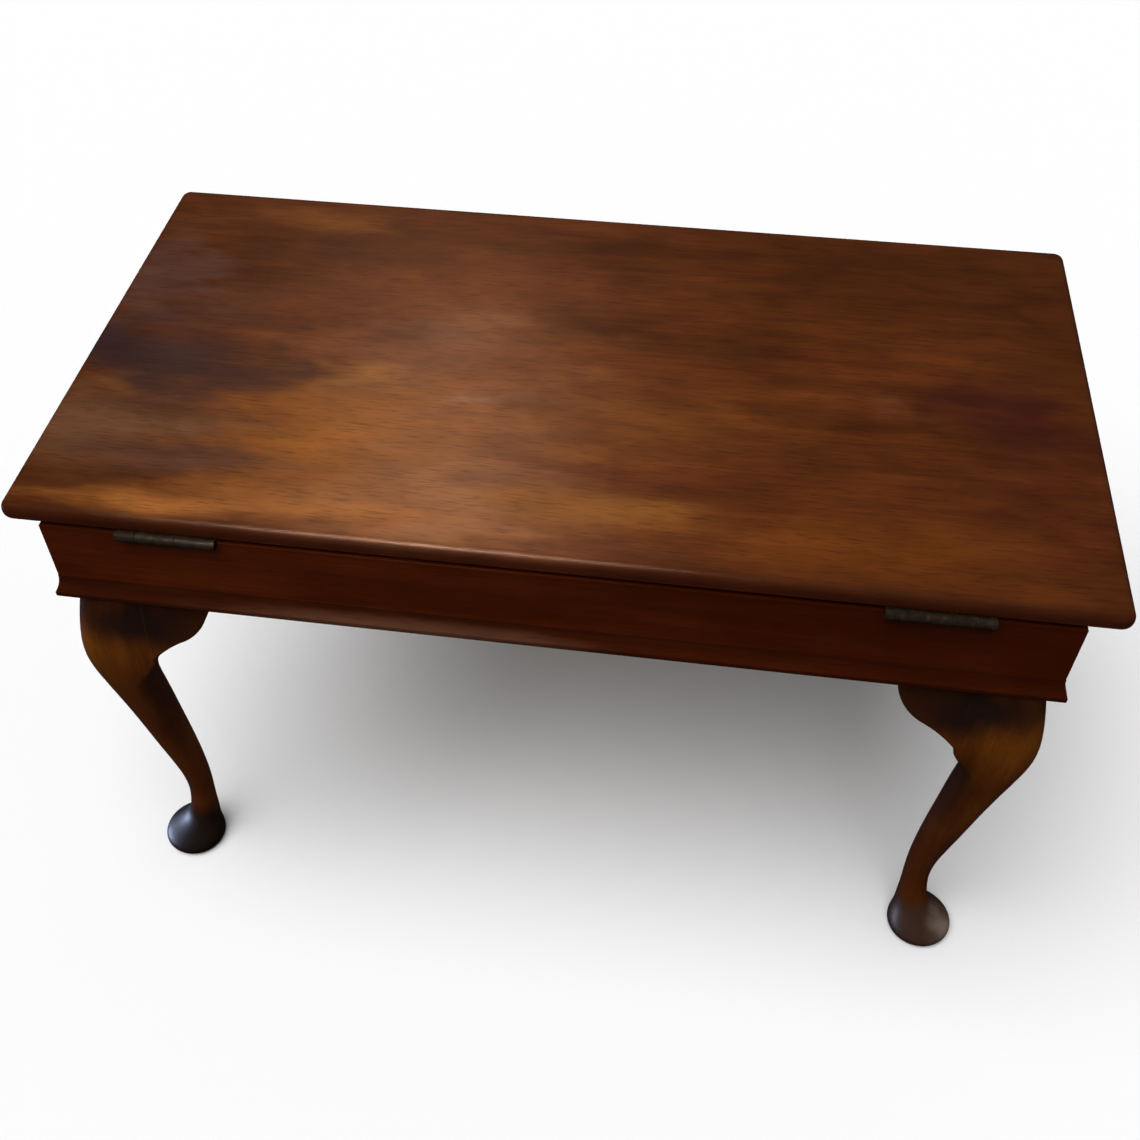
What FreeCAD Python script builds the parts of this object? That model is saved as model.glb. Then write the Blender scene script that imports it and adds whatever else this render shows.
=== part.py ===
import FreeCAD, Part
import math
import os

from FreeCAD import Placement, Rotation, Vector

# A low table with a storage box under a lift-up lid, on four cabriole legs with pad feet.
# Sizes are millimetres and degrees. X runs along the table, Y from the hinged (near) side
# to the opening (far) side, Z up. The origin is on the floor under the middle of the outline.

# Lid
table_height = 520.0
lid_length = 900.0
lid_depth = 485.0
lid_thickness = 18.0
lid_corner_radius = 10.0
lid_top_round = 8.5
lid_bottom_round = 8.5
end_overhang = 32.5
front_overhang = 34.0

# Box under the lid
box_height = 83.5
rail_thickness = 18.0
panel_thickness = 6.0
panel_rebate = 8.0
panel_screw_spacing = 330.0
moulding_height = 24.0
moulding_flat = 7.0
moulding_projection = 5.5
moulding_top_lip = 0.3
moulding_bottom_round = 4.0

# Cabriole leg: insets are measured from the outer faces of the rails, inwards
post_side = 46.0
post_drop = 4.0
shoulder_inset = 5.5
knee_block = 64.0
knee_bulge = 7.2
knee_arris_round = 17.0
knee_side_round = 2.0
knee_spread = 12.0
throat_lip = 2.0
shoulder_back_round = 20.0
calf_height = 263.0
calf_inset = 1.6
calf_width = 45.2
ankle_height = 91.0
ankle_inset = 26.5
ankle_width = 26.5
foot_radius = 31.5
foot_base_radius = 28.0
foot_reach = 6.5
foot_height = 34.0
round_flat = 0.6
# Foot: share of its height, then how far the outer and inner sides have drawn in to the ankle
foot_shape = ((0.15, 0, 0), (0.3, 0, 0), (0.5, 0.2, 0.43), (0.74, 0.56, 1), (1, 0.79, 1.2))
ankle_shape = ((0.25, 0.92, 1.3), (0.58, 0.995, 1.2), (1, 1, 1))
# Shin: share of its height, then how far each side still keeps to the ankle
shin_shape = ((0.2, 0.843, 1.01), (0.45, 0.567, 0.806), (0.72, 0.292, 0.432), (1, 0, 0))
# Between calf and knee, and between knee and shoulder: share of the way, of the bulge and of the width
below_knee = (0.5, 0.64, 0.07)
above_knee = (0.45, 0.45, 0.6)

# Ears beside each knee, along the rails
ear_width = 60.0
ear_height = 75.5
ear_depth = 36.0
ear_tip = 7.0
ear_arris_round = 2.5
# Points of the ear's lower edge: shares of its width and height
ear_bulge = (0.86, 0.39)
ear_turn = (0.58, 0.61)
ear_hollow = (0.25, 0.79)

# Butt hinges
hinge_length = 84.0
hinge_inset = 142.0
knuckle_radius = 4.5
knuckle_count = 5
pin_radius = 2.2
pin_offset = 3.0
leaf_thickness = 2.2
leaf_width = 16.5
leaf_screw_margin = 11.25

# Battens under the lid
batten_width = 40.0
batten_thickness = 20.0
batten_near_gap = 5.0
batten_far_gap = 8.0
batten_screw_shares = (0.08, 0.36, 0.64, 0.92)

# Folding stay: pivots are measured from the hinge pin, inwards and upwards
stay_plate_pivot = (42.0, -46.0)
stay_lid_pivot = (150.0, -8.0)
stay_open_angle = 100.0
stay_bar_width = 13.0
stay_bar_thickness = 2.5
stay_plate_thickness = 2.0
stay_plate_width = 22.0
stay_plate_height = 44.0
bracket_length = 40.0
bracket_height = 16.0
bracket_gap = 1.0
stay_screw_margin = 7.0
rivet_radius = 2.5
rivet_head_radius = 4.5
rivet_head_height = 1.2
stop_size = 4.0
stop_distance = 7.0

# Screws: head radius, shank radius, length
leaf_rail_screw = (3.0, 1.6, 18.0)
leaf_lid_screw = (3.0, 1.6, 13.0)
post_screw = (4.0, 2.2, 58.0)
panel_screw = (2.6, 1.4, 16.0)
batten_screw = (3.6, 2.0, 30.0)
stay_screw = (2.8, 1.5, 14.0)
screw_slot_width = 0.9

# Clearances
running_fit = 0.05
side_gap = 0.3
wood_fit = 0.2
screw_fit = 0.1

# Heights and planes worked out from the sizes above
lid_under = table_height - lid_thickness
shoulder = lid_under - box_height
panel_top = shoulder + panel_thickness
half_x = lid_length / 2 - end_overhang
hinge_centre = lid_length / 2 - hinge_inset
near_y = (pin_offset + knuckle_radius - lid_depth) / 2
far_y = near_y + lid_depth - front_overhang
middle_y = (near_y + far_y) / 2
pin_y = near_y - pin_offset
post_inner = rail_thickness + post_side
knee_height = shoulder - ear_height
up = Vector(0, 0, 1)

# The stay's bars lie side by side between the near left post and the left batten
plate_x = post_inner - half_x
arm_x = plate_x + stay_plate_thickness + side_gap
link_x = arm_x + stay_bar_thickness + side_gap
bracket_x = link_x + stay_bar_thickness + side_gap
batten_outer = -(bracket_x + stay_plate_thickness)

# Each side of the box, by its two corners, counter-clockwise seen from above
sides = {
    "near": ((-1, -1), (1, -1)),
    "right": ((1, -1), (1, 1)),
    "far": ((1, 1), (-1, 1)),
    "left": ((-1, 1), (-1, -1)),
}


def save(name, shape):
    if not shape.isValid():
        raise ValueError(name + " is not a valid shape")
    shape.exportStep(os.path.join("parts", name + ".step"))


def box(x0, x1, y0, y1, z0, z1):
    return Part.makeBox(x1 - x0, y1 - y0, z1 - z0, Vector(x0, y0, z0))


def rod(x0, x1, y, z, radius):
    return Part.makeCylinder(radius, x1 - x0, Vector(x0, y, z), Vector(1, 0, 0))


def prism(points, direction):
    return Part.Face(Part.makePolygon(points + points[:1])).extrude(direction)


def arc(start, middle, end):
    return Part.Arc(start, middle, end).toShape()


def line(start, end):
    return Part.makeLine(start, end)


def mirror_x(shape):
    return shape.mirror(Vector(0, 0, 0), Vector(1, 0, 0))


def mirror_y(shape):
    return shape.mirror(Vector(0, middle_y, 0), Vector(0, 1, 0))


def corner(signs, inset):
    sx, sy = signs
    y = far_y - inset if sy > 0 else near_y + inset
    return Vector(sx * (half_x - inset), y, 0)


def mitred(side, outer, inner, z0, z1):
    # A length of one side of the box between two insets, cut at 45 degrees at both ends
    a, b = sides[side]
    points = [corner(a, outer), corner(b, outer), corner(b, inner), corner(a, inner)]
    return prism([p + up * z0 for p in points], up * (z1 - z0))


def screw_profile(size, grow):
    # Countersunk head at the top, plain shank and a pointed end, turned about Z
    head, shank, length = size
    head += grow
    shank += grow
    sink = head - shank
    tip = 2 * shank
    points = [(0, 0), (head, 0), (shank, -sink), (shank, tip - length - grow), (0, -length - grow)]
    outline = [Vector(r, 0, z) for r, z in points]
    face = Part.Face(Part.makePolygon(outline + outline[:1]))
    return face.revolve(Vector(0, 0, 0), up, 360)


def place(shape, at, outward):
    moved = shape.copy()
    moved.Placement = Placement(at, Rotation(up, outward))
    return moved


def screw(size, at, outward):
    head = size[0]
    half = screw_slot_width / 2
    slot = box(-head, head, -half, half, -screw_slot_width, screw_slot_width)
    return place(screw_profile(size, 0).cut(slot), at, outward)


def screw_hole(size, at, outward):
    return place(screw_profile(size, screw_fit), at, outward)


def screws_and_holes(size, seats):
    group = Part.makeCompound([screw(size, at, outward) for at, outward in seats])
    holes = [screw_hole(size, at, outward) for at, outward in seats]
    return group, holes


# Screw seats, each a point on the surface and the way the head faces
def leaf_seats(centre, outward):
    spread = hinge_length / 2 - leaf_screw_margin
    mid = near_y + leaf_width / 2
    return [
        (Vector(centre + k * spread, mid + (2 * abs(k) - 1) * leaf_width / 6, 0), outward)
        for k in (-1, 0, 1)
    ]


def hinge_seats(face_z, outward):
    found = []
    for sx in (-1, 1):
        for at, way in leaf_seats(sx * hinge_centre, outward):
            found.append((at + up * face_z, way))
    return found


def post_seats():
    # One screw from each post into each rail that it stands against, at two heights
    low = shoulder + box_height / 3
    high = shoulder + box_height * 2 / 3
    middle = rail_thickness + post_side / 2
    found = []
    for signs in ((-1, -1), (1, -1), (1, 1), (-1, 1)):
        sx, sy = signs
        centre = corner(signs, middle)
        face = corner(signs, post_inner)
        found.append((Vector(face.x, centre.y, low), Vector(-sx, 0, 0)))
        found.append((Vector(centre.x, face.y, high), Vector(0, -sy, 0)))
    return found


def panel_seats():
    line_inset = rail_thickness - panel_rebate / 2
    found = []
    for a, b in sides.values():
        start = corner(a, line_inset)
        run = corner(b, line_inset) - start
        margin = post_inner + post_side
        span = run.Length - 2 * margin
        gaps = 1 + int(span / panel_screw_spacing)
        for k in range(gaps + 1):
            share = (margin + span * k / gaps) / run.Length
            found.append((start + run * share + up * shoulder, Vector(0, 0, -1)))
    return found


def batten_span():
    return near_y + rail_thickness + batten_near_gap, far_y - rail_thickness - batten_far_gap


def batten_seats():
    y0, y1 = batten_span()
    middle = batten_outer - batten_width / 2
    face = lid_under - batten_thickness
    return [
        (Vector(sx * middle, y0 + (y1 - y0) * share, face), Vector(0, 0, -1))
        for sx in (-1, 1)
        for share in batten_screw_shares
    ]


def stay_point(pivot, x):
    return Vector(x, pin_y + pivot[0], lid_under + pivot[1])


def stay_plate_seats():
    reach = stay_plate_height / 2 - stay_screw_margin
    at = stay_point(stay_plate_pivot, plate_x + stay_plate_thickness)
    return [(at + up * reach, Vector(1, 0, 0)), (at - up * reach, Vector(1, 0, 0))]


def bracket_seats():
    at = stay_point(stay_lid_pivot, bracket_x)
    first = rivet_head_radius + stay_screw_margin
    second = bracket_length - stay_bar_width / 2 - stay_screw_margin
    return [(at + Vector(0, run, 0), Vector(-1, 0, 0)) for run in (first, second)]


# Box rails
def rail(side):
    board = mitred(side, 0, rail_thickness, shoulder, lid_under)
    rebate = mitred(side, rail_thickness - panel_rebate, rail_thickness, shoulder, panel_top)
    return board.cut(rebate)


def leaf_mortise(centre, z0, z1):
    half = hinge_length / 2 + wood_fit
    back = near_y + leaf_width + wood_fit
    return box(centre - half, centre + half, pin_y, back, z0, z1)


def knuckle_room(centre):
    half = hinge_length / 2 + wood_fit
    return rod(centre - half, centre + half, pin_y, lid_under, knuckle_radius + side_gap)


def make_rails(holes):
    for side, name in (("near", "near"), ("far", "far"), ("left", "left_end"), ("right", "right_end")):
        board = rail(side)
        if side == "near":
            for sx in (-1, 1):
                centre = sx * hinge_centre
                board = board.cut(leaf_mortise(centre, lid_under - leaf_thickness, lid_under))
                board = board.cut(knuckle_room(centre))
        save(name + "_rail", board.cut(holes))


# Base moulding: a cove over a flat band with a rounded lower edge
def moulding(side):
    a, b = sides[side]
    start = corner(a, 0)
    run = corner(b, 0) - start
    along = run * (1 / run.Length)
    out = Vector(along.y, -along.x, 0)
    spare = 2 * moulding_projection

    def at(u, v):
        return start - along * spare + out * u + up * (shoulder + v)

    p = moulding_projection
    r = moulding_bottom_round
    lip = moulding_top_lip
    bend = math.sqrt(0.5)
    # The cove is an arc that ends upright against the rail
    rise = moulding_height - moulding_flat
    radius = ((p - lip) ** 2 + rise ** 2) / (2 * (p - lip))
    half = math.asin(rise / radius) / 2
    cove_middle = at(lip + radius * (1 - math.cos(half)), moulding_height - radius * math.sin(half))
    edges = [
        line(at(0, 0), at(p - r, 0)),
        arc(at(p - r, 0), at(p - r + r * bend, r - r * bend), at(p, r)),
        line(at(p, r), at(p, moulding_flat)),
        arc(at(p, moulding_flat), cove_middle, at(lip, moulding_height)),
        line(at(lip, moulding_height), at(0, moulding_height)),
        line(at(0, moulding_height), at(0, 0)),
    ]
    strip = Part.Face(Part.Wire(edges)).extrude(run + along * (2 * spare))
    mask = mitred(side, -spare, 0, shoulder, shoulder + moulding_height)
    return strip.common(mask)


# Thin board in the rebate of the rails, notched round the posts
def bottom_panel():
    edge = rail_thickness - panel_rebate + wood_fit
    near_left = corner((-1, -1), edge)
    far_right = corner((1, 1), edge)
    board = box(near_left.x, far_right.x, near_left.y, far_right.y, shoulder, panel_top)
    for signs in ((-1, -1), (1, -1), (1, 1), (-1, 1)):
        outer = corner(signs, 0)
        inner = corner(signs, post_inner + wood_fit)
        x0, x1 = sorted((outer.x, inner.x))
        y0, y1 = sorted((outer.y, inner.y))
        board = board.cut(box(x0, x1, y0, y1, shoulder, panel_top))
    return board


# Leg of the near left corner, in insets from the rail faces
def at_leg(a, b, z):
    return Vector(a - half_x, near_y + b, z)


def leg_section(z, outer, inner, arris, side_round, back_round):
    # A square with rounded corners: the outer arris and the back have radii of their own
    widest = (inner - outer - round_flat) / 2
    ro = min(arris, widest)
    rs = min(side_round, widest)
    rb = min(back_round, widest)
    corners = [
        (inner, outer, rs, 1, -1),
        (inner, inner, rb, 1, 1),
        (outer, inner, rs, -1, 1),
        (outer, outer, ro, -1, -1),
    ]
    bend = 1 - math.sqrt(0.5)
    edges = []
    last = (outer + ro, outer)
    for a, b, r, da, db in corners:
        along = (a - da * r, b)
        across = (a, b - db * r)
        first, second = (along, across) if da * db < 0 else (across, along)
        middle = (a - da * r * bend, b - db * r * bend)
        edges.append(line(at_leg(*last, z), at_leg(*first, z)))
        edges.append(arc(at_leg(*first, z), at_leg(*middle, z), at_leg(*second, z)))
        last = second
    return Part.Wire(edges)


def mix(start, end, share):
    return start + (end - start) * share


def foot_profile():
    # Height, outer inset and inner inset of the round sections, from the floor to the ankle
    centre = foot_radius - foot_reach
    inner = centre + foot_radius
    ankle_inner = ankle_inset + ankle_width
    rise = ankle_height - foot_height
    rows = [(0, centre - foot_base_radius, centre + foot_base_radius)]
    heights = [(share * foot_height, out, inwards) for share, out, inwards in foot_shape]
    heights += [(foot_height + share * rise, out, inwards) for share, out, inwards in ankle_shape]
    for height, outer_share, inner_share in heights:
        outer_inset = mix(-foot_reach, ankle_inset, outer_share)
        rows.append((height, outer_inset, mix(inner, ankle_inner, inner_share)))
    return rows


def knee_profile():
    # The same from above the ankle to the shoulder, where round sections turn square
    ankle_inner = ankle_inset + ankle_width
    calf_inner = calf_inset + calf_width
    shin = calf_height - ankle_height
    rows = []
    for share, outer_share, inner_share in shin_shape:
        outer = mix(calf_inset, ankle_inset, outer_share)
        inner = mix(calf_inner, ankle_inner, inner_share)
        rows.append((ankle_height + share * shin, outer, inner))
    way, bulge, width = below_knee
    throat = mix(calf_inner, knee_block, width)
    rows.append((mix(calf_height, knee_height, way), -bulge * knee_bulge, throat))
    # From the knee up the sides run past the seats of the ears, so that leg and ear lie flush
    way, bulge, width = above_knee
    below = (mix(knee_height, shoulder, way), -bulge * knee_bulge, knee_block + width * knee_spread)
    level = (shoulder, shoulder_inset, knee_block + knee_spread)
    rows += [(knee_height, -knee_bulge, knee_block + throat_lip), below, level]
    # They run on above the shoulder, where the leg is cut level
    rows += [tuple(mix(a, b, steps) for a, b in zip(below, level)) for steps in (2, 3)]
    return rows


def leg_sections():
    sections = [leg_section(z, outer, inner, inner, inner, inner) for z, outer, inner in foot_profile()]
    for z, outer, inner in knee_profile():
        share = min((z - ankle_height) / (knee_height - ankle_height), 1) ** 2
        above = min(max((z - knee_height) / ear_height, 0), 1)
        half = (inner - outer) / 2
        arris = mix(half, knee_arris_round, share)
        side_round = mix(half, knee_side_round, share)
        back_round = mix(half, shoulder_back_round, above)
        sections.append(leg_section(z, outer, inner, arris, side_round, back_round))
    return sections


def leg_trim(a, b, z0, z1):
    # Room beyond two insets, larger than the leg
    spare = 4 * knee_block
    low = at_leg(a, b, z0)
    return box(low.x, low.x + spare, low.y, low.y + spare, z0, z1)


def leg_body():
    whole = Part.makeLoft(leg_sections(), True, False)
    return whole.cut(leg_trim(-knee_block, -knee_block, shoulder, shoulder + table_height))


def leg(holes):
    body = leg_body()
    # Flat seats for the ears on the two inner sides of the knee
    for a, b in ((knee_block, -knee_block), (-knee_block, knee_block)):
        body = body.cut(leg_trim(a, b, calf_height, shoulder))
    low = at_leg(rail_thickness, rail_thickness, shoulder)
    post = box(low.x, low.x + post_side, low.y, low.y + post_side, shoulder, lid_under - post_drop)
    return body.fuse(post).removeSplitter().cut(holes)


def knee_line():
    # The front line of the knee, cut through the middle of the leg and set in the ear's seat
    half = knee_block / 2
    cut = leg_body().slice(Vector(1, 0, 0), at_leg(half, 0, 0).x)
    upright = [e for wire in cut for e in wire.Edges if e.BoundBox.ZLength > ear_height]
    front = min(upright, key=lambda edge: edge.CenterOfMass.y)
    return front.translated(Vector(half, 0, 0))


# Ear along the near rail beside the near left leg: its front carries on the face of the knee
def ear():
    front_line = knee_line()
    first, last = sorted((v.Point for v in front_line.Vertexes), key=lambda point: point.z)
    low = at_leg(knee_block, ear_depth, first.z)
    high = at_leg(knee_block, ear_depth, last.z)
    side = Part.Face(Part.Wire([front_line, line(last, high), line(high, low), line(low, first)]))
    block = side.extrude(Vector(ear_width, 0, 0))

    def at(across, down):
        return at_leg(knee_block + across * ear_width, -2 * knee_bulge, shoulder - down * ear_height)

    tip = at(1, ear_tip / ear_height)
    turn = at(*ear_turn)
    edges = [
        line(at(0, 0), at(1, 0)),
        line(at(1, 0), tip),
        arc(tip, at(*ear_bulge), turn),
        arc(turn, at(*ear_hollow), at(0, 1)),
        line(at(0, 1), at(0, 0)),
    ]
    bracket = Part.Face(Part.Wire(edges)).extrude(Vector(0, 2 * knee_bulge + ear_depth, 0))
    body = block.common(bracket)
    front = min(body.Faces, key=lambda face: face.CenterOfMass.y)
    # The front arris is rounded along the curved lower edge, not where the ear meets leg or rail
    lower = [e for e in front.Edges if min(e.BoundBox.XLength, e.BoundBox.ZLength) > ear_arris_round]
    return body.makeFillet(ear_arris_round, lower)


def across_corner(shape):
    # The same piece on the other rail of the near left corner
    return shape.mirror(at_leg(0, 0, 0), Vector(1, -1, 0))


def make_legs(holes):
    near_left = leg(holes)
    along_rail = ear()
    along_end = across_corner(along_rail)
    for name, turn in (
        ("near_left", lambda shape: shape),
        ("near_right", mirror_x),
        ("far_left", mirror_y),
        ("far_right", lambda shape: mirror_x(mirror_y(shape))),
    ):
        save(name + "_leg", turn(near_left))
        save(name + "_rail_ear", turn(along_rail))
        save(name + "_end_ear", turn(along_end))


# Lid
def lid_panel(holes):
    board = box(-lid_length / 2, lid_length / 2, near_y, near_y + lid_depth, lid_under, table_height)
    upright = [e for e in board.Edges if abs(e.tangentAt(e.FirstParameter).z) > 0.9]
    board = board.makeFillet(lid_corner_radius, upright)
    for height, radius in ((table_height, lid_top_round), (lid_under, lid_bottom_round)):
        rim = [e for e in board.Edges if max(abs(v.Z - height) for v in e.Vertexes) < screw_fit]
        board = board.makeFillet(radius, rim)
    for sx in (-1, 1):
        centre = sx * hinge_centre
        board = board.cut(leaf_mortise(centre, lid_under, lid_under + leaf_thickness))
        board = board.cut(knuckle_room(centre))
    return board.cut(holes)


def batten(sx, holes):
    y0, y1 = batten_span()
    x0, x1 = sorted((sx * batten_outer, sx * (batten_outer - batten_width)))
    return box(x0, x1, y0, y1, lid_under - batten_thickness, lid_under).cut(holes)


# Butt hinge: knuckles are shared out in turn between the rail leaf and the lid leaf
def knuckle_span(centre, index):
    pitch = hinge_length / knuckle_count
    start = centre - hinge_length / 2 + index * pitch
    first = 0 if index == 0 else side_gap / 2
    last = 0 if index == knuckle_count - 1 else side_gap / 2
    return start + first, start + pitch - last


def leaf(centre, own, z0, holes):
    x0 = centre - hinge_length / 2
    x1 = centre + hinge_length / 2
    plate = box(x0, x1, pin_y, near_y + leaf_width, z0, z0 + leaf_thickness)
    for index in range(knuckle_count):
        start, end = knuckle_span(centre, index)
        if index % 2 == own:
            plate = plate.fuse(rod(start, end, pin_y, lid_under, knuckle_radius))
        else:
            room = rod(start - side_gap, end + side_gap, pin_y, lid_under, knuckle_radius + side_gap)
            plate = plate.cut(room)
    bore = rod(x0 - side_gap, x1 + side_gap, pin_y, lid_under, pin_radius + running_fit)
    plate = plate.cut(bore)
    return plate.removeSplitter().cut(holes)


def make_hinges(rail_holes, lid_holes):
    for sx, name in ((-1, "left"), (1, "right")):
        centre = sx * hinge_centre
        half = hinge_length / 2
        save(name + "_hinge_rail_leaf", leaf(centre, 0, lid_under - leaf_thickness, rail_holes))
        save(name + "_hinge_lid_leaf", leaf(centre, 1, lid_under, lid_holes))
        save(name + "_hinge_pin", rod(centre - half, centre + half, pin_y, lid_under, pin_radius))


# Folding stay: an equal-sided linkage with the hinge pin, so both bars turn as the lid does
def stay_bar(start, end, x):
    half = stay_bar_width / 2
    a = stay_point(start, x)
    b = stay_point(end, x)
    along = (b - a).normalize()
    aside = Vector(0, -along.z, along.y) * half
    edges = [
        line(a + aside, b + aside),
        arc(b + aside, b + along * half, b - aside),
        line(b - aside, a - aside),
        arc(a - aside, a - along * half, a + aside),
    ]
    return Part.Face(Part.Wire(edges)).extrude(Vector(stay_bar_thickness, 0, 0))


def rivet(pivot, x0, x1, head_side):
    # Shank from x0 to x1 with its head beyond the end on the side given
    at = stay_point(pivot, 0)
    start, end = (x0, x1 + side_gap / 2) if head_side > 0 else (x0 - side_gap / 2, x1)
    shank = rod(start, end, at.y, at.z, rivet_radius)
    face = end if head_side > 0 else start - rivet_head_height
    return shank.fuse(rod(face, face + rivet_head_height, at.y, at.z, rivet_head_radius))


def pivot_hole(pivot, x):
    at = stay_point(pivot, 0)
    end = x + stay_bar_thickness + side_gap
    return rod(x - side_gap, end, at.y, at.z, rivet_radius + running_fit)


def stay_knee():
    return tuple(a + b for a, b in zip(stay_plate_pivot, stay_lid_pivot))


def stay_plate(holes):
    at = stay_point(stay_plate_pivot, plate_x)
    half_w = stay_plate_width / 2
    half_h = stay_plate_height / 2
    x1 = plate_x + stay_plate_thickness
    plate = box(plate_x, x1, at.y - half_w, at.y + half_w, at.z - half_h, at.z + half_h)
    pin = rivet(stay_plate_pivot, x1, arm_x + stay_bar_thickness, 1)
    return plate.cut(holes).fuse(pin)


def stay_bracket(holes):
    at = stay_point(stay_lid_pivot, bracket_x)
    y0 = at.y - stay_bar_width / 2
    z1 = lid_under - bracket_gap
    x1 = bracket_x + stay_plate_thickness
    plate = box(bracket_x, x1, y0, y0 + bracket_length, z1 - bracket_height, z1)
    pin = rivet(stay_lid_pivot, link_x, bracket_x, -1)
    return plate.cut(holes).fuse(pin)


def stay_arm():
    bar = stay_bar(stay_plate_pivot, stay_knee(), arm_x).cut(pivot_hole(stay_plate_pivot, arm_x))
    return bar.fuse(rivet(stay_knee(), arm_x + stay_bar_thickness, link_x + stay_bar_thickness, 1))


def stay_link():
    # A spur on the link carries a lug that meets the edge of the arm when the lid is open
    bar = stay_bar(stay_knee(), stay_lid_pivot, link_x)
    knee = stay_point(stay_knee(), link_x)
    closed = math.atan2(stay_lid_pivot[1], stay_lid_pivot[0])
    back = closed + math.radians(stay_open_angle) + math.pi
    edge = stay_bar_width / 2 + side_gap
    spur = box(0, stay_bar_thickness, 0, stop_distance + stop_size, 0, edge + stop_size)
    lug_x = arm_x - link_x + side_gap / 2
    lug = box(lug_x, stay_bar_thickness, stop_distance, stop_distance + stop_size, edge, edge + stop_size)
    turn = Placement(knee, Rotation(Vector(1, 0, 0), math.degrees(back)))
    for piece in (spur, lug):
        piece.Placement = turn
        bar = bar.fuse(piece)
    for pivot in (stay_knee(), stay_lid_pivot):
        bar = bar.cut(pivot_hole(pivot, link_x))
    return bar.removeSplitter()


os.makedirs("parts", exist_ok=True)

rail_leaf_screws, rail_leaf_holes = screws_and_holes(leaf_rail_screw, hinge_seats(lid_under, up))
lid_leaf_screws, lid_leaf_holes = screws_and_holes(leaf_lid_screw, hinge_seats(lid_under, up * -1))
post_screws, post_holes = screws_and_holes(post_screw, post_seats())
panel_screws, panel_holes = screws_and_holes(panel_screw, panel_seats())
batten_screws, batten_holes = screws_and_holes(batten_screw, batten_seats())
plate_screws, plate_holes = screws_and_holes(stay_screw, stay_plate_seats())
bracket_screws, bracket_holes = screws_and_holes(stay_screw, bracket_seats())

make_rails(rail_leaf_holes + post_holes + panel_holes)
for side in sides:
    save(side + "_moulding", moulding(side))
save("bottom_panel", bottom_panel().cut(panel_holes))
make_legs(post_holes + plate_holes)
save("lid_panel", lid_panel(lid_leaf_holes + batten_holes))
save("left_batten", batten(-1, batten_holes + bracket_holes))
save("right_batten", batten(1, batten_holes))
make_hinges(rail_leaf_holes, lid_leaf_holes)
save("stay_plate", stay_plate(plate_holes))
save("stay_bracket", stay_bracket(bracket_holes))
save("stay_arm", stay_arm())
save("stay_link", stay_link())
save("rail_leaf_screws", rail_leaf_screws)
save("lid_leaf_screws", lid_leaf_screws)
save("post_screws", post_screws)
save("panel_screws", panel_screws)
save("batten_screws", batten_screws)
save("stay_plate_screws", plate_screws)
save("stay_bracket_screws", bracket_screws)
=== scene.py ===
import math

import bpy
import numpy as np
from mathutils import Matrix, Vector


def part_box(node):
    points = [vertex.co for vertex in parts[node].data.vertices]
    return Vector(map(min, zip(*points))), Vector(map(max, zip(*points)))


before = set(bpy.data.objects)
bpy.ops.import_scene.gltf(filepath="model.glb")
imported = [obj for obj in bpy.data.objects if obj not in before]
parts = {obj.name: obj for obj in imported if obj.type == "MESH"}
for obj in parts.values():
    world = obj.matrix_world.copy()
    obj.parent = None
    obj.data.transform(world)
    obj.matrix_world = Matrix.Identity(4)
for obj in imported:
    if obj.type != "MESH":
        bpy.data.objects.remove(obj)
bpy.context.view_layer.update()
scene = bpy.context.scene
print("frame loaded,", len(parts), "pieces")

mm = 0.001

# the table's own planes in mm, read from the solids that carry them
lidLow, lidHigh = (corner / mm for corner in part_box("lid_panel"))
railLow, railHigh = (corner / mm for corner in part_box("near_rail"))
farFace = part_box("far_rail")[1].y / mm
boxMidY = (railLow.y + farFace) / 2
boxHalfX = railHigh.x
boxHalfY = (farFace - railLow.y) / 2
railThick = railHigh.y - railLow.y
shoulder = railLow.z
lidThick = lidHigh.z - lidLow.z
lidNear = lidLow.y - boxMidY


def hexToLinear(code):  # sRGB hex to the linear colour that a shader takes
    levels = np.array([int(code[k:k + 2], 16) for k in (1, 3, 5)]) / 255
    linear = np.where(levels <= 0.04045, levels / 12.92, ((levels + 0.055) / 1.055) ** 2.4)
    return (*linear.tolist(), 1.0)


# An input takes a value or another node's socket. Some sockets go by their number: in a Mix, 0 is the
# share, 2 and 3 are numbers, 6 and 7 colours; a Map Range turns the span 1 to 2 into the span 3 to 4.
def addNode(tree, kind, inputs=None, stops=(), **settings):
    node = tree.nodes.new("ShaderNode" + kind)
    for name, value in settings.items():
        setattr(node, name, value)
    for name, value in (inputs or {}).items():
        if isinstance(value, bpy.types.NodeSocket):
            tree.links.new(value, node.inputs[name])
        else:
            node.inputs[name].default_value = value
    for k, (place, code) in enumerate(stops):  # colours of a ramp, in rising order
        element = node.color_ramp.elements[k] if k < 2 else node.color_ramp.elements.new(place)
        element.position = place
        element.color = hexToLinear(code)
    return node


def newMaterial(name):
    material = bpy.data.materials.new(name)
    material.use_nodes = True
    material.node_tree.nodes.clear()
    return material, material.node_tree


noiseSpan = (0.3, 0.7)  # nearly all of a noise lies between these
noiseMean = (0.5, 0.5, 0.5)
bumpStrength = 0.5
traces = 4  # rays that look for closed corners and for edges

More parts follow.
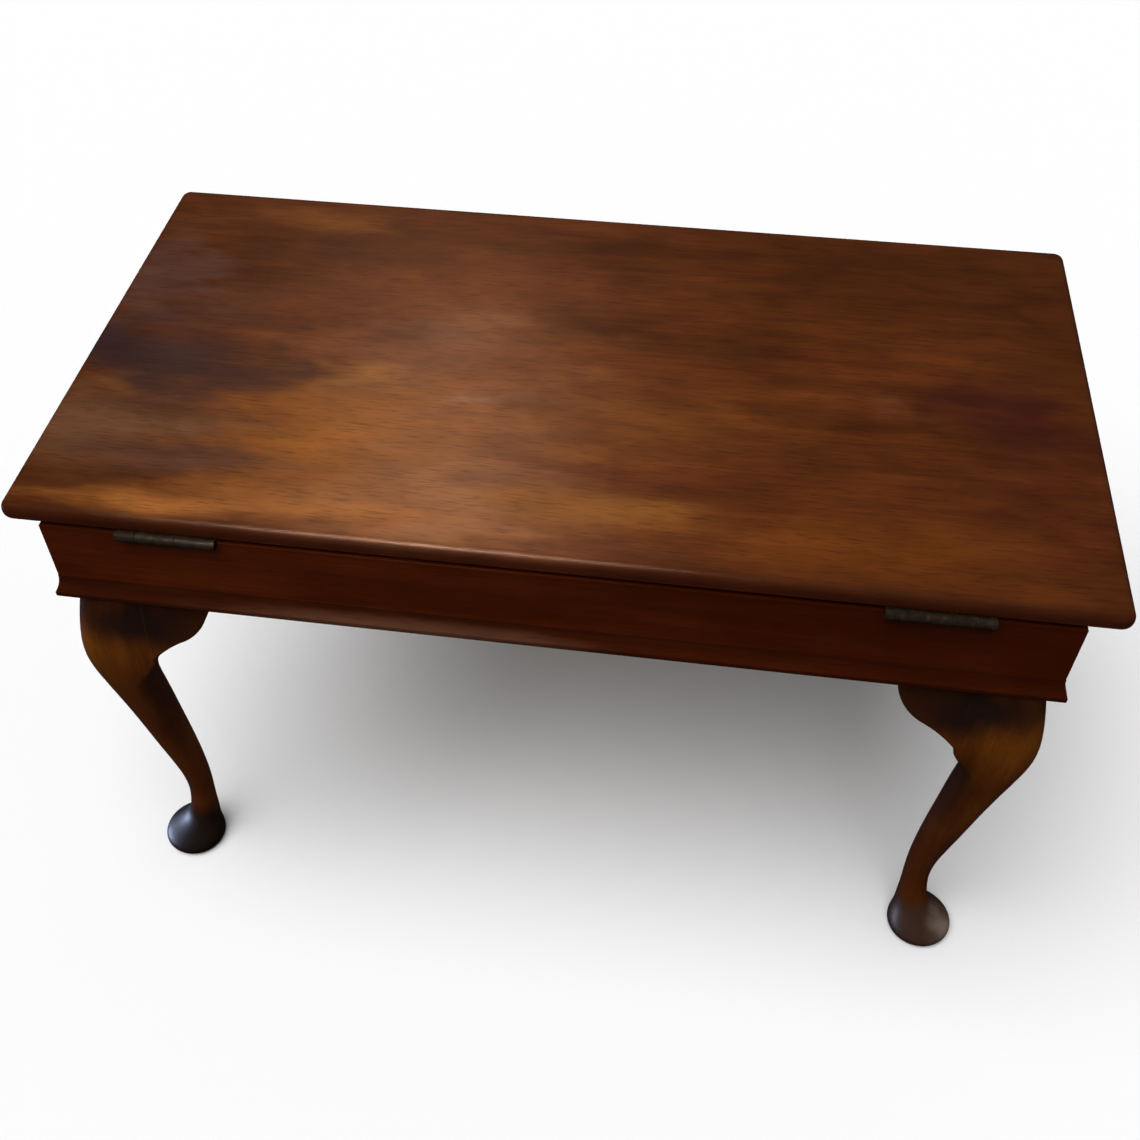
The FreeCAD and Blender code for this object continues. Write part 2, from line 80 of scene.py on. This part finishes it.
grain = {
    "patterns": {  # mm along the grain and across it, then the noise's detail, roughness and warp
        "cloud": (130, 62, 3.0, 0.5, 0.0),
        "streak": (150, 12, 4.0, 0.6, 0.4),
        "ribbon": (420, 26, 1.0, 0.5, 0.8),
        "mottle": (62, 26, 2.0, 0.5, 0.6),
        "fibre": (70, 2.4, 2.0, 0.5, 0.0),
        "pore": (18, 1.2, 1.0, 0.5, 0.0),  # real pores are 0.3 mm wide, drawn coarser so that they show
        "ragged": (90, 30, 3.0, 0.5, 0.0),  # makes the borders of the marks uneven
    },
    "shares": {"streak": 0.28, "ribbon": 0.25, "fibre": 0.2},  # how much of each lies over those before
    "mottleShare": 0.6,
    "mottleSpan": (0.36, 0.64),
    "poreSpan": (0.56, 0.70),  # where a pore starts, and where it is full
    "poreSink": 0.06,  # mm
    "waveHeight": 0.5,  # mm, unevenness of the rubbed film
    "waveStrength": 0.4,
    "ior": 1.5,  # shellac's, and near enough for bare wood
    "dirtAndShadeSpan": (0.85, 0.35),  # how open the surface is, from clean and lit to dirty and in painted shade
    "rubSpan": (0.97, 0.8),  # how flat the surface is, from whole to rubbed
    "rubBreaks": (0.35, 0.6),
}


# Timber: noise drawn out along the grain runs through a few shades, and veils lie on top of them:
# stains, painted shade and sheen, bare wood inside, dirt and painted shade in the corners, rubbed edges.
# Short dark pores are a little sunk.
def timber(name, wood):
    material, tree = newMaterial(name)
    place = addNode(tree, "TexCoord").outputs["Object"]

    noise = {}
    for pattern, (length, width, detail, rough, warp) in grain["patterns"].items():
        stretch = tuple(1 / (mm * (length if axis == wood["grain"] else width)) for axis in "xyz")
        drawn = addNode(tree, "Mapping", {"Vector": place, "Scale": stretch}).outputs[0]
        noise[pattern] = addNode(tree, "TexNoise", {
            "Vector": drawn, "Scale": 1.0, "Detail": detail, "Roughness": rough, "Distortion": warp}).outputs

    tones = [noise["cloud"]["Fac"]]
    for pattern, share in grain["shares"].items():
        tones.append(addNode(tree, "Mix", {
            0: share, 2: tones[-1], 3: noise[pattern]["Fac"]}, data_type="FLOAT").outputs[0])
    streaked, tone = tones[1], tones[-1]
    shade = addNode(tree, "ValToRGB", {"Fac": tone}, stops=wood["shades"]).outputs["Color"]
    gloss = addNode(tree, "MapRange", {
        "Value": streaked, 1: noiseSpan[0], 2: noiseSpan[1],
        3: wood["gloss"][0], 4: wood["gloss"][1]}).outputs[0]

    # marks count from the middle of the box; the four corners share theirs, folded over both middles,
    # unless a mark is a lone one
    grounds = [addNode(tree, "VectorMath", {
        0: place, 1: (0, boxMidY * mm, 0)}, operation="SUBTRACT").outputs[0]]
    if wood["folded"]:
        grounds.append(addNode(tree, "VectorMath", {0: grounds[0]}, operation="ABSOLUTE").outputs[0])
    shift = addNode(tree, "VectorMath", {
        0: noise["ragged"]["Color"], 1: noiseMean}, operation="SUBTRACT").outputs[0]
    marked = []  # on each ground: the place along the axes, and the place with ragged borders
    for ground in grounds:
        drift = addNode(tree, "VectorMath", {
            0: shift, 1: wood["drift"], 2: ground}, operation="MULTIPLY_ADD").outputs[0]
        marked.append((addNode(tree, "SeparateXYZ", {0: ground}).outputs, drift))
    breaks = addNode(tree, "MapRange", {
        "Value": noise["streak"]["Fac"], 1: grain["rubBreaks"][0], 2: grain["rubBreaks"][1]}).outputs[0]

    for veil in wood["veils"]:
        masks = []
        along, drift = marked[0 if veil.get("lone") else -1]
        for axis, start, end in veil.get("spans", ()):  # none before start, full past end
            masks.append(addNode(tree, "MapRange", {
                "Value": along[axis], 1: start * mm, 2: end * mm},
                interpolation_type="SMOOTHSTEP").outputs[0])
        if "spot" in veil:  # soft ellipse with an uneven border
            centre, reach = veil["spot"]
            ball = addNode(tree, "Mapping", {
                "Vector": drift, "Location": tuple(v * mm for v in centre),
                "Scale": tuple(v * mm for v in reach)}, vector_type="TEXTURE").outputs[0]
            fade = addNode(tree, "TexGradient", {"Vector": ball}, gradient_type="SPHERICAL").outputs["Fac"]
            masks.append(addNode(tree, "MapRange", {
                "Value": fade, 2: veil.get("core", 1.0)}, interpolation_type="SMOOTHSTEP").outputs[0])
        if "dirtAndShade" in veil:  # dirt and painted shade gather where the surface is closed in
            openness = addNode(tree, "AmbientOcclusion", {
                "Distance": veil["dirtAndShade"] * mm}, samples=traces).outputs["AO"]
            masks.append(addNode(tree, "MapRange", {
                "Value": openness, 1: grain["dirtAndShadeSpan"][0], 2: grain["dirtAndShadeSpan"][1]}).outputs[0])
        if "rub" in veil:  # edges: where a rounded normal turns away from the true one
            rounded = addNode(tree, "Bevel", {"Radius": veil["rub"] * mm}, samples=traces).outputs[0]
            normal = addNode(tree, "NewGeometry").outputs["Normal"]
            flatness = addNode(tree, "VectorMath", {
                0: rounded, 1: normal}, operation="DOT_PRODUCT").outputs["Value"]
            masks.append(addNode(tree, "MapRange", {
                "Value": flatness, 1: grain["rubSpan"][0], 2: grain["rubSpan"][1]}).outputs[0])
            masks.append(breaks)
        amount = veil["amount"]
        for mask in masks:
            amount = addNode(tree, "Math", {0: mask, 1: amount}, operation="MULTIPLY").outputs[0]
        shade = addNode(tree, "Mix", {
            0: amount, 6: shade, 7: hexToLinear(veil["shade"])}, data_type="RGBA").outputs[2]
        if "rough" in veil:
            gloss = addNode(tree, "Mix", {
                0: amount, 2: gloss, 3: veil["rough"]}, data_type="FLOAT").outputs[0]

    # the figure shows through every veil
    blotch = addNode(tree, "Mix", {
        0: grain["mottleShare"], 2: tone, 3: noise["mottle"]["Fac"]}, data_type="FLOAT").outputs[0]
    depth = addNode(tree, "MapRange", {
        "Value": blotch, 1: grain["mottleSpan"][0], 2: grain["mottleSpan"][1],
        3: 1 - wood["depth"], 4: 1 + wood["depth"]}).outputs[0]
    shade = addNode(tree, "Mix", {
        0: 1.0, 6: shade, 7: depth}, data_type="RGBA", blend_type="MULTIPLY").outputs[2]

    pit = addNode(tree, "MapRange", {
        "Value": noise["pore"]["Fac"], 1: grain["poreSpan"][0], 2: grain["poreSpan"][1]}).outputs[0]
    dark = addNode(tree, "Math", {0: pit, 1: wood["poreDepth"]}, operation="MULTIPLY").outputs[0]
    shade = addNode(tree, "Mix", {
        0: dark, 6: shade, 7: hexToLinear(wood["poreShade"])}, data_type="RGBA").outputs[2]
    sunk = addNode(tree, "Math", {0: pit, 1: -1.0}, operation="MULTIPLY").outputs[0]
    uneven = addNode(tree, "Bump", {
        "Height": noise["cloud"]["Fac"], "Distance": grain["waveHeight"] * mm,
        "Strength": grain["waveStrength"]}).outputs[0]
    bump = addNode(tree, "Bump", {
        "Height": sunk, "Distance": grain["poreSink"] * mm, "Strength": bumpStrength,
        "Normal": uneven}).outputs[0]
    skin = addNode(tree, "BsdfPrincipled", {
        "Base Color": shade, "Roughness": gloss, "Normal": bump, "IOR": grain["ior"],
        "Specular IOR Level": wood["mirror"], "Specular Tint": hexToLinear(wood["film"])})
    addNode(tree, "OutputMaterial", {"Surface": skin.outputs[0]})
    return material


# veils that several pieces have; lengths here and below are in mm unless a note says otherwise
bareWood = {"shade": "#74502f", "amount": 0.62, "rough": 0.72}
# dirt and painted shade in closed corners and under overhangs
cornerDirtAndShade = {"dirtAndShade": 9, "shade": "#120703", "amount": 0.6, "rough": 0.6}

# stains, rubbed places, painted sheen and a painted reflection of the top:
# centre from the middle of the box, half lengths, shade, amount
topStainsAndSheen = [
    # redder towards the far side
    ((-150, 110), (230, 130), "#6e3b17", 0.6),
    ((-40, 150), (110, 40), "#723a18", 0.4),
    ((110, 145), (90, 34), "#602e0c", 0.4),
    # faded to gold left of the middle, palest along the near edge, with a painted pinkish sheen down the
    # middle
    ((-85, -50), (170, 190), "#86502a", 0.7),
    ((-190, -105), (190, 125), "#8c5014", 0.8),
    # painted sheen
    ((-85, -190), (150, 110), "#965f36", 0.75),
    ((-200, 18), (120, 44), "#7c4622", 0.5),
    # painted sheen
    ((-112, 62), (90, 50), "#8c5b3a", 0.35),
    ((-187, -22), (80, 28), "#a0652a", 0.55),
    # painted sheen
    ((-78, -41), (70, 14), "#9a6a4c", 0.35),
    ((-190, -190), (140, 32), "#9c5c26", 0.75),
    ((-310, -205), (150, 22), "#a2622a", 0.7),
    # browner right of the middle
    ((35, -163), (130, 36), "#86501a", 0.75),
    ((65, -50), (160, 95), "#723e12", 0.6),
    ((20, -95), (90, 40), "#8a4c14", 0.4),
    ((190, -5), (70, 40), "#6c3610", 0.4),
    ((100, -118), (70, 20), "#662a0c", 0.5),
    ((45, -205), (120, 15), "#5a331a", 0.6),
    ((250, -185), (210, 60), "#6c360c", 0.7),
    # a light patch and a dark one at the far edge
    ((-275, 218), (110, 38), "#744214", 0.75),
    ((-80, 192), (100, 16), "#4a2506", 0.5),
    # the left end, greyed by a painted reflection, with dark marks
    ((-400, -120), (170, 90), "#6a4630", 0.6),
    ((-422, 95), (72, 140), "#55362c", 0.85),
    ((-345, 60), (100, 60), "#46281a", 0.7),
    ((-365, -28), (150, 88), "#38231e", 1.0),
    ((-425, 0), (85, 52), "#261b1e", 0.8),
    ((-420, -60), (50, 22), "#6a401a", 0.7),
    ((-380, -106), (140, 24), "#6c4429", 0.75),
    ((-415, -132), (70, 28), "#66422a", 0.6),
    ((-325, -150), (130, 40), "#4f2f22", 0.8),
    # small dark clouds in the middle
    ((-62, 2), (50, 28), "#582c0c", 0.5),
    ((108, 4), (50, 18), "#4a2408", 0.5),
    ((142, 52), (60, 30), "#45220a", 0.5),
    # the right end, with one dark red patch
    ((268, -2), (60, 30), "#6a3c22", 0.35),
    ((376, 0), (110, 75), "#38120e", 0.85),
    ((392, -100), (80, 110), "#451a0c", 0.7),
]

offUnderside = ("Z", lidLow.z + 0.2, lidLow.z + 1.2)
onUnderside = ("Z", lidLow.z + 1.2, lidLow.z + 0.2)

# Mahogany, stained and french polished: brown clouds and streaks with stains, faded places, painted sheen
# and painted shade, under a hand-rubbed film that blurs what it mirrors
lidTop = {
    "grain": "x",
    "drift": (0.22, 0.04, 0.0),  # m, how far noise may carry a mark's border
    "depth": 0.2,  # how strongly the figure shows through the marks
    "folded": False,
    "shades": [(0.34, "#3f1b05"), (0.46, "#4a2106"), (0.54, "#552707"), (0.66, "#64300a")],
    "poreShade": "#2b1308",
    "poreDepth": 0.42,
    "gloss": (0.32, 0.44),  # roughness of the film
    "mirror": 0.4,  # how strongly it reflects
    "film": "#ffdac4",  # and the tint of that
    "veils": [
        {"spans": (("X", 40, 430),), "shade": "#401d0c", "amount": 0.42},  # darker to the right
        {"spans": (("Y", -60, 250),), "shade": "#431f08", "amount": 0.45},  # and away from the hinges
        *({"spot": ((*centre, lidHigh.z), (*reach, lidThick)), "shade": shade, "amount": amount}
          for centre, reach, shade, amount in topStainsAndSheen),
        # painted shade darkens the rim all round
        {"spans": (("Z", lidHigh.z - 0.5, lidHigh.z - 8), offUnderside), "shade": "#431809", "amount": 0.85},
        # a painted lighter red on the shaded low round of the hinged side
        {"spans": (("Z", lidLow.z + 8.5, lidLow.z + 4), offUnderside, ("Y", lidNear + 40, lidNear + 10)),
         "shade": "#6e2e12", "amount": 0.8},
        # painted shade along the near edge, darkest above the red low round
        {"spans": (("Y", lidNear + 11, lidNear + 2), ("Z", lidLow.z + 8, lidLow.z + 12)),
         "shade": "#351507", "amount": 0.75},
        {"rub": 1.5, "shade": "#7a4a28", "amount": 0.2},
        {**bareWood, "spans": (onUnderside,)},
    ],
}

insideX = boxHalfX - railThick
insideY = boxHalfY - railThick

# The same mahogany in the rails: redder and plainer under a duller film, and bare inside the box
railWood = {
    "grain": "x",
    "drift": (0.10, 0.02, 0.01),
    "depth": 0.08,
    "folded": True,
    "shades": [(0.34, "#441601"), (0.46, "#4c1901"), (0.55, "#551d02"), (0.68, "#632604")],
    "poreShade": "#240a03",
    "poreDepth": 0.35,
    "gloss": (0.36, 0.5),
    "mirror": 0.3,
    "film": "#ffc090",
    "veils": [
        # darker to the right, and painted shade close under the lid
        {"lone": True, "spans": (("X", -200, 350),), "shade": "#380e01", "amount": 0.5},
        {"spans": (("Z", lidLow.z - 9, lidLow.z - 1),), "shade": "#2a0d03", "amount": 0.35},
        {**cornerDirtAndShade, "amount": 0.35},
        {"rub": 1.2, "shade": "#5e3216", "amount": 0.35},
        {**bareWood, "spans": (("X", insideX + 1.2, insideX + 0.4), ("Y", insideY + 1.2, insideY + 0.4))},
    ],
}
endRailWood = {**railWood, "grain": "y"}

# The moulding is the same wood, darkened with painted shade, with dust and a painted sheen on a stretch of
# its front
frontDustAndSheen = {"lone": True, "spot": ((-125, -boxHalfY, shoulder + 6), (220, 20, 14)), "core": 0.7,
             "shade": "#6a4836", "amount": 0.5, "rough": 0.6}
mouldWood = {
    **railWood,
    "shades": [(0.34, "#301003"), (0.46, "#381304"), (0.55, "#401705"), (0.68, "#4d2009")],
    "veils": [*railWood["veils"], frontDustAndSheen],
}
endMouldWood = {**mouldWood, "grain": "y"}

# painted shade on both sides of a leg's corner: inset from it, height, reach along, across and up, shade,
# amount, and how far in from its border a mark is full
legPaintedShade = [
    (54, 255, (34, 90, 150), "#220d03", 0.75, 0.9),  # painted shade behind the shin
    (96, 392, (60, 60, 55), "#351808", 0.9, 0.7),  # painted shade over the ears
    (55, 390, (78, 60, 40), "#20130f", 0.95, 0.8),  # painted shadow, nearly black under the box
]

# Mahogany again in the legs, upright in its grain: golden at the knees, with painted shade behind them and
# under the box, and feet nearly black
legWood = {
    "grain": "z",
    "drift": (0.03, 0.03, 0.04),
    "depth": 0.08,
    "folded": True,
    "shades": [(0.34, "#502405"), (0.46, "#5d2c06"), (0.55, "#683407"), (0.68, "#773f0a")],
    "poreShade": "#2a1105",
    "poreDepth": 0.3,
    "gloss": (0.3, 0.42),
    "mirror": 0.18,
    "film": "#fff4ec",
    "veils": [
        {"spot": ((boxHalfX, boxHalfY, 345), (60, 60, 90)), "shade": "#7d480a", "amount": 0.4},  # knee
        {"spans": (("Z", 200, 70),), "shade": "#4a1f06", "amount": 0.75},  # redder down the shin
        *({"spot": (centre, reach), "shade": shade, "amount": amount, "core": core}
          for inset, height, (along, across, rise), shade, amount, core in legPaintedShade
          for centre, reach in (((boxHalfX - inset, boxHalfY, height), (along, across, rise)),
                                ((boxHalfX, boxHalfY - inset, height), (across, along, rise)))),
        {"spans": (("Z", 46, 28),), "shade": "#34271f", "amount": 0.85, "rough": 0.5},  # feet
        {"lone": True, "spot": ((25 - boxHalfX, 25 - boxHalfY, 14), (60, 60, 46)), "core": 0.5,
         "shade": "#0e0c0a", "amount": 0.85},  # one blacker
        {"lone": True, "spot": ((boxHalfX + 2, 14 - boxHalfY, 14), (30, 34, 26)),
         "shade": "#7d6f65", "amount": 0.75, "rough": 0.6},  # and one paler on its outer side
        {**cornerDirtAndShade, "amount": 0.2},
        {"rub": 1.5, "shade": "#7d4f1c", "amount": 0.2},
        {**bareWood, "spans": (("Z", shoulder + 0.2, shoulder + 1.2),)},  # posts inside the box
    ],
}

# Oak, planed and left bare: dull mid brown with darker streaks, and dirt in its corners
battenWood = {
    **railWood,
    "grain": "y",
    "shades": [(0.34, "#4a2c18"), (0.48, "#6b4425"), (0.6, "#7d5430"), (0.72, "#8d633b")],
    "gloss": (0.6, 0.75),
    "mirror": 0.2,
    "film": "#ffffff",
    "veils": [cornerDirtAndShade],
}

# Deal, planed and left bare: straw coloured and dull
boardWood = {
    **battenWood,
    "grain": "x",
    "shades": [(0.34, "#7a5a38"), (0.48, "#9a7850"), (0.6, "#a98860"), (0.72, "#b8996f")],
}


# Brass: a patchy film over the metal, brighter inside the closed joint, rough enough to blur every
# reflection
def brass(name, metal):
    material, tree = newMaterial(name)
    place = addNode(tree, "TexCoord").outputs["Object"]
    film = addNode(tree, "TexNoise", {
        "Vector": place, "Scale": 1 / (metal["film"] * mm), "Detail": 4.0}).outputs["Fac"]
    shade = addNode(tree, "ValToRGB", {"Fac": film}, stops=metal["shades"]).outputs["Color"]
    if "kept" in metal:  # brighter inside the closed joint, where little air reaches it
        start, end = metal["kept"]
        inward = addNode(tree, "SeparateXYZ", {0: place}).outputs["Y"]
        clean = addNode(tree, "MapRange", {
            "Value": inward, 1: start * mm, 2: end * mm, 4: metal["keptAmount"]}).outputs[0]
        shade = addNode(tree, "Mix", {
            0: clean, 6: shade, 7: hexToLinear(metal["keptShade"])}, data_type="RGBA").outputs[2]
    rough = addNode(tree, "MapRange", {
        "Value": film, 1: noiseSpan[0], 2: noiseSpan[1],
        3: metal["gloss"][1], 4: metal["gloss"][0]}).outputs[0]
    grit = addNode(tree, "TexNoise", {
        "Vector": place, "Scale": 1 / (metal["grit"] * mm), "Detail": 2.0}).outputs["Fac"]
    bump = addNode(tree, "Bump", {
        "Height": grit, "Distance": metal["gritHeight"] * mm, "Strength": bumpStrength}).outputs[0]
    skin = addNode(tree, "BsdfPrincipled", {
        "Base Color": shade, "Metallic": metal["bare"], "Roughness": rough, "Normal": bump})
    addNode(tree, "OutputMaterial", {"Surface": skin.outputs[0]})
    return material


# Cast brass, long tarnished: a dull brown film, with little bare metal left to mirror anything
hingeBrass = {
    "film": 6,  # mm, patches of the film
    "grit": 0.8,  # mm
    "gritHeight": 0.03,  # mm
    "gloss": (0.4, 0.6),
    "bare": 0.35,
    "shades": [(0.35, "#261e16"), (0.55, "#32271b"), (0.7, "#413323")],
    "kept": (railLow.y + 1.5, railLow.y + 5),  # mm, from the first clean metal to the cleanest
    "keptShade": "#7d6333",
    "keptAmount": 0.75,
}

# Rolled brass, kept dry inside the box: pale yellow and still bright; the screws have it too
stayBrass = {
    "film": 9,
    "grit": 0.6,
    "gritHeight": 0.03,
    "gloss": (0.28, 0.45),
    "bare": 0.8,
    "shades": [(0.35, "#7a5f30"), (0.55, "#a5854a"), (0.7, "#bd9c5c")],
}

finishes = {  # by the record's material slot
    "top_mahogany": timber("mahoganyTop", lidTop),
    "rail_mahogany": timber("mahoganyRail", railWood),
    "moulding_mahogany": timber("mahoganyMould", mouldWood),
    "leg_mahogany": timber("mahoganyLeg", legWood),
    "batten_wood": timber("battenOak", battenWood),
    "bottom_board": timber("bottomDeal", boardWood),
    "hinge_brass": brass("hingeBrass", hingeBrass),
    "stay_brass": brass("stayBrass", stayBrass),
}
finishes["screw_brass"] = finishes["stay_brass"]
endRail = timber("mahoganyEnd", endRailWood)
endMould = timber("mahoganyEndMould", endMouldWood)
endFinishes = {  # by piece, where the grain runs along the ends of the box
    "left_end_rail": endRail,
    "right_end_rail": endRail,
    "left_moulding": endMould,
    "right_moulding": endMould,
}
print("woods and brass mixed")

for name, piece in parts.items():
    slot = piece.material_slots[0]
    if name in endFinishes:
        slot.material = endFinishes[name]
    else:
        slot.material = finishes[slot.material.name.split(".")[0]]
print("finishes laid on", len(parts), "pieces")

# Studio: a pale floor, one broad soft light from above, left and front, and small lamps for the polish
studio = {
    "floorHalf": 20.0,  # m
    "floorShade": "#f0f0f1",
    "floorRough": 0.9,
    "skyDiffuse": 0.20,
    "skyGlossy": (0.012, 0.035),  # mirrored in the polish, from below and from above
    "skyGlossyHeights": (-0.2, 0.3),
    "wallGlow": 0.6,  # a paler wall behind the table and to its right
    "wallSide": (0.45, 0.89, 0.0),
    "wallSpread": (0.2, 0.9),  # from its edge to its middle
    "wallHeights": (0.5, 0.15),  # from its top down
    "broadPower": 3.08,
    "broadAngle": 54,
    "broadPlace": (-0.24, -0.27, 1.0),  # the way it comes from
    "glints": {  # soft lamps that only show mirrored in the polish: place, aim, size, spread, watts, shade
        "sheen": ((-0.47, 1.25, 2.05), (-0.09, -0.15, 0.52), (0.45, 0.8), 180, 3.6, "#ffeeea"),
        "rimGlint": ((-0.35, -0.75, 2.4), (-0.12, -0.24, 0.52), (0.3, 0.3), 9, 0.3, "#ffece4"),
        "footGlint": ((-2.0, -0.2, 0.16), (-0.36, -0.2, 0.03), (1.0, 0.24), 30, 5.2, "#bed2ff"),
    },
}


def pointAt(place, target):  # turn that aims a light's -Z at a target
    return (Vector(target) - Vector(place)).to_track_quat("-Z", "Y").to_euler()


half = studio["floorHalf"]
floorCorners = [(-half, -half, 0), (half, -half, 0), (half, half, 0), (-half, half, 0)]
floorMesh = bpy.data.meshes.new("floor")
floorMesh.from_pydata(floorCorners, [], [(0, 1, 2, 3)])
floor = bpy.data.objects.new("floor", floorMesh)
scene.collection.objects.link(floor)
# Matt paint: one even pale grey that mirrors nothing
floorPaint, floorTree = newMaterial("floorPaint")
floorSkin = addNode(floorTree, "BsdfPrincipled", {
    "Base Color": hexToLinear(studio["floorShade"]), "Roughness": studio["floorRough"],
    "Specular IOR Level": 0.0})
addNode(floorTree, "OutputMaterial", {"Surface": floorSkin.outputs[0]})
floorMesh.materials.append(floorPaint)
floor.visible_glossy = False
floor.visible_diffuse = False

world = bpy.data.worlds.new("studio")
world.use_nodes = True
world.node_tree.nodes.clear()
skyTree = world.node_tree
path = addNode(skyTree, "LightPath").outputs
toward = addNode(skyTree, "TexCoord").outputs["Generated"]
height = addNode(skyTree, "SeparateXYZ", {0: toward}).outputs["Z"]
facing = addNode(skyTree, "VectorMath", {
    0: toward, 1: studio["wallSide"]}, operation="DOT_PRODUCT").outputs["Value"]
edge, middle = studio["wallSpread"]
wallAcross = addNode(skyTree, "MapRange", {
    "Value": facing, 1: edge, 2: middle, 4: studio["wallGlow"]}, interpolation_type="SMOOTHSTEP").outputs[0]
top, bottom = studio["wallHeights"]
wallUp = addNode(skyTree, "MapRange", {
    "Value": height, 1: top, 2: bottom}, interpolation_type="SMOOTHSTEP").outputs[0]
skyFill = addNode(skyTree, "Math", {
    0: wallAcross, 1: wallUp, 2: studio["skyDiffuse"]}, operation="MULTIPLY_ADD").outputs[0]
low, high = studio["skyGlossyHeights"]
below, above = studio["skyGlossy"]
skyMirror = addNode(skyTree, "MapRange", {"Value": height, 1: low, 2: high, 3: below, 4: above}).outputs[0]
skyGlow = addNode(skyTree, "Mix", {
    0: path["Is Glossy Ray"], 2: skyFill, 3: skyMirror}, data_type="FLOAT").outputs[0]
skyPower = addNode(skyTree, "Mix", {
    0: path["Is Camera Ray"], 2: skyGlow, 3: 1.0}, data_type="FLOAT").outputs[0]
sky = addNode(skyTree, "Background", {"Color": (1, 1, 1, 1), "Strength": skyPower})
addNode(skyTree, "OutputWorld", {"Surface": sky.outputs[0]})
scene.world = world

broad = bpy.data.objects.new("broadLight", bpy.data.lights.new("broadLight", "SUN"))
broad.data.energy = studio["broadPower"]
broad.data.angle = math.radians(studio["broadAngle"])
broad.rotation_euler = pointAt(studio["broadPlace"], (0, 0, 0))
broad.visible_glossy = False
scene.collection.objects.link(broad)

for name, (place, aim, size, spread, watts, shade) in studio["glints"].items():
    glint = bpy.data.objects.new(name, bpy.data.lights.new(name, "AREA"))
    glint.data.shape = "RECTANGLE"
    glint.data.size, glint.data.size_y = size
    glint.data.spread = math.radians(spread)
    glint.data.energy = watts
    glint.data.color = hexToLinear(shade)[:3]
    glint.location = place
    glint.rotation_euler = pointAt(place, aim)
    glint.visible_diffuse = False
    scene.collection.objects.link(glint)
print("studio lit")

# Camera: where the lens stands and how it is turned, fitted to the table's outline
camera = {
    "place": (0.1040, -0.9433, 1.2685),
    "yaw": 9.2074,
    "pitch": 48.2144,
    "roll": -1.0141,
    "focal": 1326.7,  # pixels of the photograph's frame
    "axis": (529.0, 601.9),  # pixel that the lens looks straight at
    "frame": 1140,  # pixels
    "sensor": 36.0,  # mm
    "reach": 200,  # m, past the far corners of the floor
}


def lensTurn(yaw, pitch, roll):  # columns: right, up and backwards of the lens
    y, p, r = (math.radians(v) for v in (yaw, pitch, roll))
    ahead = Vector((-math.sin(y) * math.cos(p), math.cos(y) * math.cos(p), -math.sin(p)))
    level = Vector((math.cos(y), math.sin(y), 0))
    upward = level.cross(ahead)
    right = level * math.cos(r) + upward * math.sin(r)
    top = upward * math.cos(r) - level * math.sin(r)
    return Matrix((right, top, -ahead)).transposed()


lens = bpy.data.cameras.new("camera")
lens.sensor_width = camera["sensor"]
lens.lens = camera["focal"] / camera["frame"] * camera["sensor"]
lens.shift_x = 0.5 - camera["axis"][0] / camera["frame"]
lens.shift_y = camera["axis"][1] / camera["frame"] - 0.5
lens.clip_end = camera["reach"]
view = bpy.data.objects.new("camera", lens)
turn = lensTurn(camera["yaw"], camera["pitch"], camera["roll"])
view.matrix_world = Matrix.Translation(camera["place"]) @ turn.to_4x4()
scene.collection.objects.link(view)
scene.camera = view
scene.view_settings.view_transform = "Standard"
print("camera set")
